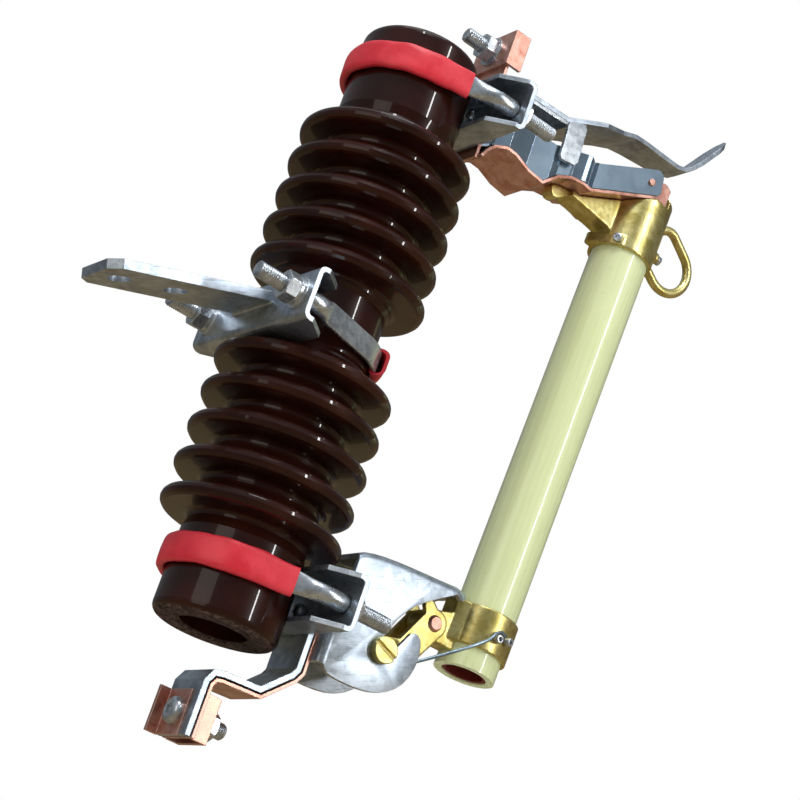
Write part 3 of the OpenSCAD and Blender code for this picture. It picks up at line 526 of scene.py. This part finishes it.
def add_socket_screw(bm, place, head_r, head_h, key):
    """A cap screw's head that stands on Z 0, with a hexagonal socket of that width across its flats."""
    sides = 24
    edge = 0.12 * head_r
    head = (
        (0.92 * head_r, 0), (head_r, 0.15), (head_r, head_h - edge),
        (head_r - 0.3 * edge, head_h - 0.3 * edge), (head_r - edge, head_h),
    )
    rings = [circle(r, sides, z) for r, z in head]
    turns = [2 * pi * i / sides for i in range(sides)]
    for scale, z in ((1.06, head_h), (1.0, head_h - 0.15), (1.0, 0.35 * head_h), (0.3, 0.25 * head_h)):
        rings.append([polar(scale * (key / 2 / cos(a % (pi / 3) - pi / 6)), a, z) for a in turns])
    skin(bm, [[place @ p for p in ring] for ring in rings])


def make_piece(name, bm, finish, body="root", replaces=(), crease=35):
    """The shape as a piece that rides a body; faces that meet more sharply than crease keep their edge."""
    bmesh.ops.recalc_face_normals(bm, faces=bm.faces)
    mesh = bpy.data.meshes.new(name)
    bm.to_mesh(mesh)
    bm.free()
    dress(name, mesh, finish, body, replaces, crease)


def dress(name, mesh, finish, body, replaces, crease):
    """The mesh as a piece in its finish, which rides a body in place of the CAD nodes that it replaces."""
    mesh.materials.clear()
    mesh.materials.append(finishes[finish])
    mesh.polygons.foreach_set("use_smooth", [True] * len(mesh.polygons))
    mesh.set_sharp_from_angle(angle=radians(crease))
    piece = bpy.data.objects.new(name, mesh)
    scene.collection.objects.link(piece)
    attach(piece, body)
    if replaces:
        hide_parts(*replaces)


def modified(name, bm, modifiers):
    """The shape as a mesh with its modifiers, given as kinds and settings, applied."""
    start = bpy.data.meshes.new(name + "_start")
    bm.to_mesh(start)
    bm.free()
    holder = bpy.data.objects.new(name + "_start", start)
    scene.collection.objects.link(holder)
    for kind, settings in modifiers:
        modifier = holder.modifiers.new(kind.lower(), kind)
        for key, value in settings.items():
            setattr(modifier, key, value)
    bpy.context.view_layer.update()
    mesh = bpy.data.meshes.new_from_object(holder.evaluated_get(bpy.context.evaluated_depsgraph_get()))
    mesh.name = name
    bpy.data.objects.remove(holder)
    return mesh


# --- clamps: threads, straps, sleeves and cup heads ---


def clamp_frame(height, turned=False):
    """The frame of a clamp: its bracket is on +X, or behind when turned."""
    turn = Matrix.Rotation(pi if turned else 0, 4, "Z")
    return PLACED @ Matrix.Translation((0, 0, height)) @ turn


def along_x(x, y=0.0, z=0.0, back=False):
    """A frame whose Z runs along X, or back along it."""
    return Matrix.Translation((x, y, z)) @ Matrix.Rotation(-pi / 2 if back else pi / 2, 4, "Y")


def thread_piece(name, places, length):
    """One piece with a thread of that length at each place."""
    bm = bmesh.new()
    for place in places:
        add_thread(bm, place, length)
    bmesh.ops.remove_doubles(bm, verts=bm.verts, dist=WELD)
    bmesh.ops.dissolve_degenerate(bm, edges=bm.edges, dist=WELD)
    loose = [v for v in bm.verts if not v.link_faces]
    bmesh.ops.delete(bm, geom=loose, context="VERTS")
    bmesh.ops.holes_fill(bm, edges=bm.edges)
    make_piece(name, bm, "zinc_plate", crease=50)


def make_threads():
    """Threads over the plain roots of the straps' studs and of both terminal bolts."""
    for name, clamp, web, out in (
        ("upper_threads", clamp_frame(UP), WEB_X, STUD_OUT),
        ("lower_threads", clamp_frame(LOW), WEB_X, STUD_OUT),
        ("middle_threads", clamp_frame(0, True), MIDDLE_WEB_X, STUD_OUT_MIDDLE),
    ):
        thread_piece(name, [clamp @ along_x(web, side * STUD_Y) for side in (-1, 1)], out)
    upper_bolt = PLACED @ along_x(UPPER_BOLT_X, 0, UPPER_BOLT_Z, back=True)
    lower_bolt = PLACED @ along_x(LOWER_BOLT_X, 0, LOWER_BOLT_Z)
    thread_piece("upper_terminal_threads", [upper_bolt], UPPER_BOLT_H)
    thread_piece("lower_terminal_threads", [lower_bolt], LOWER_BOLT_H)


def strap_radius(barrel):
    """The strap's middle line round the porcelain."""
    return barrel + SEAT + SLEEVE_T + STRAP_T / 2


def strap_start(web):
    """Where a strap's leg turns into its stud, in plan."""
    return Vector((web - SHEET_T - STRAP_LEAD, STUD_Y))


def strap_leg(barrel, web):
    """The length of a leg, from its stud to where it meets the round."""
    return sqrt(strap_start(web).length ** 2 - strap_radius(barrel) ** 2)


def strap_middle(barrel, web, leg, count):
    """The strap's middle line in plan, with legs of that length in count steps, as in the part's source."""
    radius, start = strap_radius(barrel), strap_start(web)
    turn = atan2(start.y, start.x) + acos(radius / start.length)
    tangent = Vector((sin(turn), -cos(turn)))
    touch = radius * Vector((cos(turn), sin(turn)))
    straight = [touch + tangent * leg * (1 - i / count) for i in range(count)]
    steps = 72
    turns = [turn + (2 * pi - 2 * turn) * i / steps for i in range(steps + 1)]
    bend = [radius * Vector((cos(a), sin(a))) for a in turns]
    return straight + bend + [Vector((p.x, -p.y)) for p in reversed(straight)]


RING_SIDES = 32                              # points round a sleeve or a strap
WAVER, DENTS = 0.9, 0.35                     # unevenness of a sleeve's edges and of its outside


def rubber_sleeve(name, node, place, path, seed, loose=0.0):
    """A flattened rubber hose over the strap, a little uneven, open at both ends and off it by loose."""
    last = len(path) - 1

    def ring(i, half_t, half_h, inner):
        point = path[i]
        ahead = heading(path, i)
        side = Vector((-ahead.y, ahead.x))
        out = side if point.dot(side) > 0 else -side
        end = min(i, last - i)
        stands_off = loose * (0.45 + 0.55 * exp(-end / 5)) * (0.85 if inner else 1)
        ring_points = []
        for k in range(RING_SIDES):
            a = 2 * pi * k / RING_SIDES
            across, high = half_t * squared(cos(a), 0.75), half_h * squared(sin(a), 0.45)
            if not inner:
                edge_seed = seed + (3 if high > 0 else 0)
                waver = noise.noise(Vector((point.x / 14, point.y / 14, edge_seed)))
                high += waver * WAVER * abs(high) / half_h
                if across > 0:
                    across += DENTS * noise.noise(Vector((point.x / 9, high / 7, seed + 9)))
            if across > 0:
                across += stands_off * cos(a)
            if not inner and end < 10:
                high *= 0.93 + 0.007 * end
            ring_points.append(place @ Vector((point.x + out.x * across, point.y + out.y * across, high)))
        return ring_points

    half_t, half_h = STRAP_T / 2 + SLEEVE_T, SLEEVE_H / 2
    outer = [ring(i, half_t, half_h, False) for i in range(last + 1)]
    inner = [ring(i, STRAP_T / 2 + SLEEVE_GAP, STRAP_H / 2 + SLEEVE_GAP, True) for i in range(last, -1, -1)]
    bm = bmesh.new()
    skin(bm, outer + inner, joined=True)
    make_piece(name, bm, "red_rubber", replaces=(node,), crease=60)


def make_sleeves():
    """Sleeves that reach a share of the way along the legs, and a short one on the middle strap."""
    covered = 0.56 * strap_leg(BARREL_R, WEB_X)
    around = strap_middle(BARREL_R, WEB_X, covered, count=12)
    rubber_sleeve("upper_rubber", "upper_sleeve", clamp_frame(UP), around, seed=1)
    rubber_sleeve("lower_rubber", "lower_sleeve", clamp_frame(LOW), around, seed=5)
    half_turn, steps = 39, 44
    turns = [radians(-half_turn + 2 * half_turn * i / steps) for i in range(steps + 1)]
    short = [strap_radius(NECK_R) * Vector((-cos(a), sin(a))) for a in turns]
    rubber_sleeve("middle_rubber", "middle_sleeve", clamp_frame(0, True), short, seed=8, loose=4.0)


def stud_and_leg(barrel, web, count):
    """Half of the strap's middle line: the stud from its web, its bend, and the leg down to the round."""
    start, full = strap_start(web), strap_leg(barrel, web)
    body = strap_middle(barrel, web, full, count)
    inward = (body[1] - body[0]).normalized()
    bend = 5
    far, near = start + Vector((bend, 0)), start + Vector((1.6, 0))
    stud = [Vector((web + 1, STUD_Y))] + [start + Vector((STRAP_LEAD - short, 0)) for short in (1, 2.5)]
    eased = start + inward * 2.4 + Vector((0.4, 0))
    turned = [far, near * 0.5 + far * 0.5, near, eased, start + inward * bend]
    leg = stud + turned + body[int(bend * count / full) + 2:count]
    return leg, body[count:-count]


def steel_strap(name, node, place, barrel, web, flat=0.4):
    """The strap. Its legs swell into round studs, from that share of their length on."""
    leg, round_part = stud_and_leg(barrel, web, count=36)
    full = strap_leg(barrel, web)
    path = leg + round_part + [Vector((p.x, -p.y)) for p in reversed(leg)]
    rings = []
    for i, point in enumerate(path):
        ahead = heading(path, i)
        out = Vector((-ahead.y, ahead.x))
        nearest = min(i, len(path) - 1 - i)
        along = 0.0
        if nearest < len(leg):
            along = ((leg[nearest] - round_part[0]).length / full - flat) / (0.98 - flat)
            along = min(1.0, max(0.0, along))
        share = along * along * (3 - 2 * along)
        thick = STUD_R if nearest < 2 else SHANK_R
        half_t = STRAP_T / 2 + (thick - STRAP_T / 2) * share**1.3
        half_h = STRAP_H / 2 + (thick - STRAP_H / 2) * share
        power = 0.22 + 0.78 * min(1.0, 1.5 * share)
        ring = []
        for k in range(RING_SIDES):
            a = 2 * pi * (k + 0.5) / RING_SIDES
            across, high = half_t * squared(cos(a), power), half_h * squared(sin(a), power)
            ring.append(place @ Vector((point.x + out.x * across, point.y + out.y * across, high)))
        rings.append(ring)
    bm = bmesh.new()
    skin(bm, rings)
    make_piece(name, bm, "zinc_plate", replaces=(node,), crease=50)


def make_straps():
    """The three straps. The middle one stays flat for most of its legs."""
    steel_strap("upper_steel_strap", "upper_strap", clamp_frame(UP), BARREL_R, WEB_X)
    steel_strap("lower_steel_strap", "lower_strap", clamp_frame(LOW), BARREL_R, WEB_X)
    steel_strap("middle_steel_strap", "middle_strap", clamp_frame(0, True), NECK_R, MIDDLE_WEB_X, flat=0.82)


CUP_HEAD = ((0.5, 0), (4.6, 0), (4.5, 1.2), (4.1, 2.3), (3.3, 3.2), (2.2, 3.8), (1, 4))


def make_web_bolts():
    """The cup heads inside the end clamps' webs."""
    for name, place in (
        ("lower_web_bolt", along_x(WEB_X - SHEET_T, -3, LOW - 1.7, back=True)),
        ("upper_web_bolt", along_x(WEB_X - SHEET_T, -1, UP + 10, back=True)),
    ):
        bm = bmesh.new()
        add_revolve(bm, PLACED @ place, CUP_HEAD, sides=32)
        make_piece(name, bm, "zinc_plate")


# --- fuse tube: screws, wire and castings ---


def around_tube(turn, out, s):
    """A frame on the tube's side whose Z runs outwards: turn is from the near side, s is along the tube."""
    turned = ALONG_TUBE @ Matrix.Rotation(radians(turn), 4, "Z")
    return turned @ Matrix.Translation((0, -out, s)) @ Matrix.Rotation(pi / 2, 4, "X")


def make_screws():
    """The socket screws of the top casting, and the pair on the lower collar."""
    bm = bmesh.new()
    add_socket_screw(bm, around_tube(-48, out=22.75, s=306.5), head_r=3, head_h=2.6, key=2.6)
    add_socket_screw(bm, ALONG_TUBE @ along_x(22.2, -8, 316), head_r=3.2, head_h=3, key=2.8)
    make_piece("top_cap_screws", bm, "zinc_plate", "fuse_carrier", ("top_screws",))
    bm = bmesh.new()
    for turn in (-2, 18):
        add_socket_screw(bm, around_tube(turn, out=22.1, s=23 + turn / 10), head_r=2.6, head_h=4, key=2.4)
    make_piece("bottom_cap_screws", bm, "zinc_plate", "fuse_carrier", ("bottom_screws",))


def make_wire():
    """The ejector's spring wire, from behind the hanger across the collar, hooked over its screw."""
    bm = bmesh.new()
    add_rod(bm, smooth_path([PLACED @ Vector(p) for p in WIRE], 2 * MM), WIRE_R * MM, sides=14)
    make_piece("ejector_spring", bm, "spring_steel", "fuse_carrier", ("ejector_wire",))


def make_castings():
    """The castings with their edges rounded off and a slightly uneven skin."""
    for node, body, voxel, rounds, grain in (
        ("top_casting", "fuse_carrier", 0.6, 3, 0.05),
        ("bottom_collar", "fuse_carrier", 0.6, 3, 0.04),
        ("trunnion", "trunnion", 0.5, 2, 0.03),
        ("pull_ring", "fuse_carrier", 0.5, 3, 0.03),
    ):
        bm = bmesh.new()
        bm.from_mesh(nodes[node].data)
        bmesh.ops.remove_doubles(bm, verts=bm.verts, dist=0.2 * WELD)
        mesh = modified(node + "_skin", bm, (
            ("REMESH", {"mode": "VOXEL", "voxel_size": voxel * MM}),
            ("SMOOTH", {"factor": 0.5, "iterations": rounds}),
        ))
        for vertex, normal in zip(mesh.vertices, [v.normal.copy() for v in mesh.vertices]):
            vertex.co += normal * grain * MM * noise.noise(vertex.co / (2.5 * MM))
        dress(node + "_skin", mesh, "cast_brass", body, (node,), 80)


# --- bar and hanger ---


def make_welds():
    """Beads that join the bar's near end to the middle bracket, above and below."""
    half, steps, bead_r = 21, 60, 1.7
    bm = bmesh.new()
    for x, z in ((BAR_REACH + BAR_T * tan(radians(LEAN)) - 0.8, 0.5), (BAR_REACH - 0.9, -BAR_T - 0.6)):
        path = []
        for i in range(steps + 1):
            y = -half + 2 * half * i / steps
            out = 0.3 * noise.noise(Vector((y / 2, z, 3)))
            high = 0.2 * noise.noise(Vector((y / 2, z, 7)))
            path.append(Vector((x + out, y, z + high)) * MM)
        add_rod(bm, path, bead_r * MM, sides=12)
    make_piece("bar_welds", bm, "galvanized")


def hanger_roof(bm):
    """The roof's faces. Returns its rows of points, from the web to the tongue's tip."""
    half, bend = HANGER_HALF, HANGER_BEND
    turns = [radians(15 * i) for i in range(1, 7)]
    across = [(-half, -bend)] + [(-half + bend * (1 - cos(a)), bend * (sin(a) - 1)) for a in turns]
    across += [(y, 0) for y in (-12, -5, 0)]
    across += [(-y, z) for y, z in reversed(across[:-1])]
    rows = []
    for x, top in HANGER_CROWN:
        past = max(0.0, (x - FLANGE_END) / (TONGUE_END - FLANGE_END))
        narrowed = (1 - past**2.2) ** 0.62
        turned_down = 1 + 0.55 * sin(pi * min(1, past * 1.2)) if past else 1
        flattened = max(0.0, 1 - past**1.5)
        row = []
        for y, z in across:
            crowned = -1.6 * (abs(y) / half) ** 2 * min(1, past * 3)
            point = Vector((x, y * narrowed, top + z * turned_down * flattened + crowned))
            row.append(bm.verts.new(PLACED @ point))
        rows.append(row)
    for a, b in zip(rows, rows[1:]):
        for i in range(len(across) - 1):
            bm.faces.new((a[i], b[i], b[i + 1], a[i + 1]))
    return rows


def hanger_edge():
    """The edge of a side, from the tongue round the slot and the foot to the web."""
    slant = radians(SLOT_TURN)
    along = Vector((cos(slant), 0, sin(slant)))
    beside = Vector((-sin(slant), 0, cos(slant)))
    turns = [pi * i / 10 for i in range(1, 10)]
    edge = [Vector((x, 0, z)) for x, z in HANGER_FRONT]
    edge += [TRUNNION + SLOT_R * beside + along * s for s in (13, 7, 0)]
    edge += [TRUNNION + SLOT_R * (beside * cos(a) - along * sin(a)) for a in turns]
    edge += [TRUNNION - SLOT_R * beside + along * s for s in (0, 8, 16, 19.5)]
    return edge + [Vector((x, 0, z)) for x, z in HANGER_DISC]


def make_hanger():
    """The pressed hanger: a crowned roof that runs out in a tongue, two sides with slots, and a web."""
    bend = HANGER_BEND
    bm = bmesh.new()
    rows = hanger_roof(bm)
    edge = hanger_edge()
    turns = [radians(15 * i) for i in range(7)]
    corner = [(HANGER_X + bend * (1 - sin(a)), bend * (1 - cos(a))) for a in turns]
    web_sides = []
    for side in (-1, 1):
        columns = []
        for z in WEB_RINGS:
            column = [PLACED @ Vector((x, side * (HANGER_HALF - y), z)) for x, y in corner]
            columns.append([bm.verts.new(p) for p in column])
        web_sides.append([column[-1] for column in columns])
        for a, b in zip(columns, columns[1:]):
            for i in range(len(corner) - 1):
                bm.faces.new((a[i], a[i + 1], b[i + 1], b[i]))
        top = [row[0 if side < 0 else -1] for (x, z), row in zip(HANGER_CROWN, rows) if x <= FLANGE_END]
        rim = [bm.verts.new(PLACED @ Vector((p.x, side * HANGER_HALF, p.z))) for p in edge]
        bm.faces.new(top + rim + [column[0] for column in columns])
    near, far = web_sides
    for i in range(len(near) - 1):
        bm.faces.new((near[i], far[i], far[i + 1], near[i + 1]))
    bmesh.ops.recalc_face_normals(bm, faces=bm.faces)
    roof = rows[5][len(rows[5]) // 2]
    if roof.link_faces[0].normal.dot(AXIS) < 0:
        bmesh.ops.reverse_faces(bm, faces=bm.faces)
    mesh = modified("hanger_shell", bm, (
        ("SOLIDIFY", {"thickness": SHEET_T * MM, "offset": -1, "use_even_offset": True}),
        ("BEVEL", {"width": 0.7 * MM, "segments": 3, "limit_method": "ANGLE", "angle_limit": radians(55)}),
    ))
    dress("hanger_shell", mesh, "galvanized", "root", ("hanger",), 40)


# --- stage, lights and camera, in metres ---


CENTRE = Vector((0.2, 0, -0.06))
FLOOR_R, FLOOR_DROP = 2.4, 0.42              # the floor, low enough for the hanging tube
WORLD_STOPS = (                              # light from straight below to straight above
    (0.0, (0.32, 0.24, 0.13, 1)),
    (0.44, (0.23, 0.175, 0.10, 1)),
    (0.52, (0.09, 0.093, 0.096, 1)),
    (1.0, (0.36, 0.40, 0.44, 1)),
)
CAMERA_AZIMUTH, CAMERA_ELEVATION, CAMERA_ROLL = -34.08, -10.97, 3.69
CAMERA_PLACE = Vector((-0.5286, -1.0429, -0.2876))
CAMERA_LENS, CAMERA_SENSOR = 94.86, 36       # in millimetres


def direction(azimuth, elevation):
    """Unit vector towards a place round the part: azimuth 0 is on -Y, and 90 on +X."""
    a, e = radians(azimuth), radians(elevation)
    return Vector((sin(a) * cos(e), -cos(a) * cos(e), sin(e)))


def make_floor():
    """A round pale floor that the metal doesn't mirror."""
    bm = bmesh.new()
    bmesh.ops.create_circle(bm, cap_ends=True, segments=128, radius=FLOOR_R)
    mesh = bpy.data.meshes.new("floor")
    bm.to_mesh(mesh)
    bm.free()
    floor = bpy.data.objects.new("floor", mesh)
    floor.location = (0.15, 0, cad_box[0][2] - FLOOR_DROP)
    scene.collection.objects.link(floor)
    floor.visible_glossy = False
    f = Finish("pale_floor", Roughness=0.6)
    f.set("Base Color", f.mix(f.noise(0.4, 3), linear(222, 218, 211), linear(229, 225, 218)))
    mesh.materials.append(f.material)


def area_light(
    name, azimuth, elevation, distance, width, height, brightness, colour=(1, 1, 1), reflected=True
):
    """A softbox of that brightness, as its mirror image shows it: 1 is the white of the picture."""
    light = bpy.data.lights.new(name, "AREA")
    light.shape = "RECTANGLE"
    light.size, light.size_y = width, height
    light.energy = brightness * pi * width * height
    light.color = colour
    holder = bpy.data.objects.new(name, light)
    holder.location = CENTRE + distance * direction(azimuth, elevation)
    holder.rotation_euler = direction(azimuth, elevation).to_track_quat("Z", "Y").to_euler()
    holder.visible_glossy = reflected
    scene.collection.objects.link(holder)


def make_world():
    """White to the camera, and a soft studio to everything else: bright above, warm and dim below."""
    world = bpy.data.worlds.new("studio")
    world.use_nodes = True
    scene.world = world
    tree = world.node_tree
    tree.nodes.clear()

    def add(kind, **settings):
        node = tree.nodes.new(kind)
        for key, value in settings.items():
            setattr(node, key, value)
        return node

    place = add("ShaderNodeTexCoord")
    split = add("ShaderNodeSeparateXYZ")
    ramp = add("ShaderNodeValToRGB")
    first, last = ramp.color_ramp.elements
    first.position, first.color = WORLD_STOPS[0]
    last.position, last.color = WORLD_STOPS[-1]
    for position, colour in WORLD_STOPS[1:-1]:
        ramp.color_ramp.elements.new(position).color = colour
    shift = add("ShaderNodeMath", operation="MULTIPLY_ADD")
    shift.inputs[1].default_value = shift.inputs[2].default_value = 0.5
    studio, white = add("ShaderNodeBackground"), add("ShaderNodeBackground")
    studio.inputs["Strength"].default_value = 1.0
    white.inputs["Color"].default_value = (1, 1, 1, 1)
    rays, choice, out = add("ShaderNodeLightPath"), add("ShaderNodeMixShader"), add("ShaderNodeOutputWorld")
    for a, b in (
        (place.outputs["Generated"], split.inputs[0]), (split.outputs["Z"], shift.inputs[0]),
        (shift.outputs[0], ramp.inputs[0]), (ramp.outputs[0], studio.inputs["Color"]),
        (rays.outputs["Is Camera Ray"], choice.inputs[0]), (studio.outputs[0], choice.inputs[1]),
        (white.outputs[0], choice.inputs[2]), (choice.outputs[0], out.inputs["Surface"]),
    ):
        tree.links.new(a, b)


def make_lights():
    """Softboxes, each by its azimuth, elevation, distance, width, height and brightness."""
    area_light("tall_strip", 27, 12, 2.4, 0.11, 2.0, 36)
    area_light("ceiling_lamp", -8, 64, 2.0, 0.6, 0.3, 24)
    area_light("broad_key", -64, 24, 2.2, 1.2, 1.4, 1.1, (1, 0.92, 0.82))
    area_light("soft_fill", -60, 20, 2.4, 1.2, 1.4, 1.5, (1, 0.98, 0.95), reflected=False)
    area_light("overhead", 60, 80, 2.2, 1.4, 1.4, 1.2, (0.95, 0.98, 1))
    area_light("back_rim", 130, 30, 2.2, 0.7, 1.2, 1.6, (0.9, 0.95, 1), reflected=False)


def make_camera():
    """The camera at the photograph's angle, a little rolled."""
    data = bpy.data.cameras.new("camera")
    data.lens, data.sensor_width = CAMERA_LENS, CAMERA_SENSOR
    data.clip_start = 0.05
    camera = bpy.data.objects.new("camera", data)
    scene.collection.objects.link(camera)
    scene.camera = camera
    back = direction(CAMERA_AZIMUTH, CAMERA_ELEVATION)
    level = Vector((cos(radians(CAMERA_AZIMUTH)), sin(radians(CAMERA_AZIMUTH)), 0))
    right = level * cos(radians(CAMERA_ROLL)) + back.cross(level) * sin(radians(CAMERA_ROLL))
    up = back.cross(right)
    turned = Matrix((right, up, back)).transposed().to_4x4()
    camera.matrix_world = Matrix.Translation(CAMERA_PLACE) @ turned


paint_nodes()
make_threads()
make_straps()
make_sleeves()
make_screws()
make_web_bolts()
make_wire()
make_welds()
make_hanger()
make_castings()
make_floor()
make_world()
make_lights()
make_camera()
scene.view_settings.view_transform = "Standard"

bpy.context.view_layer.update()
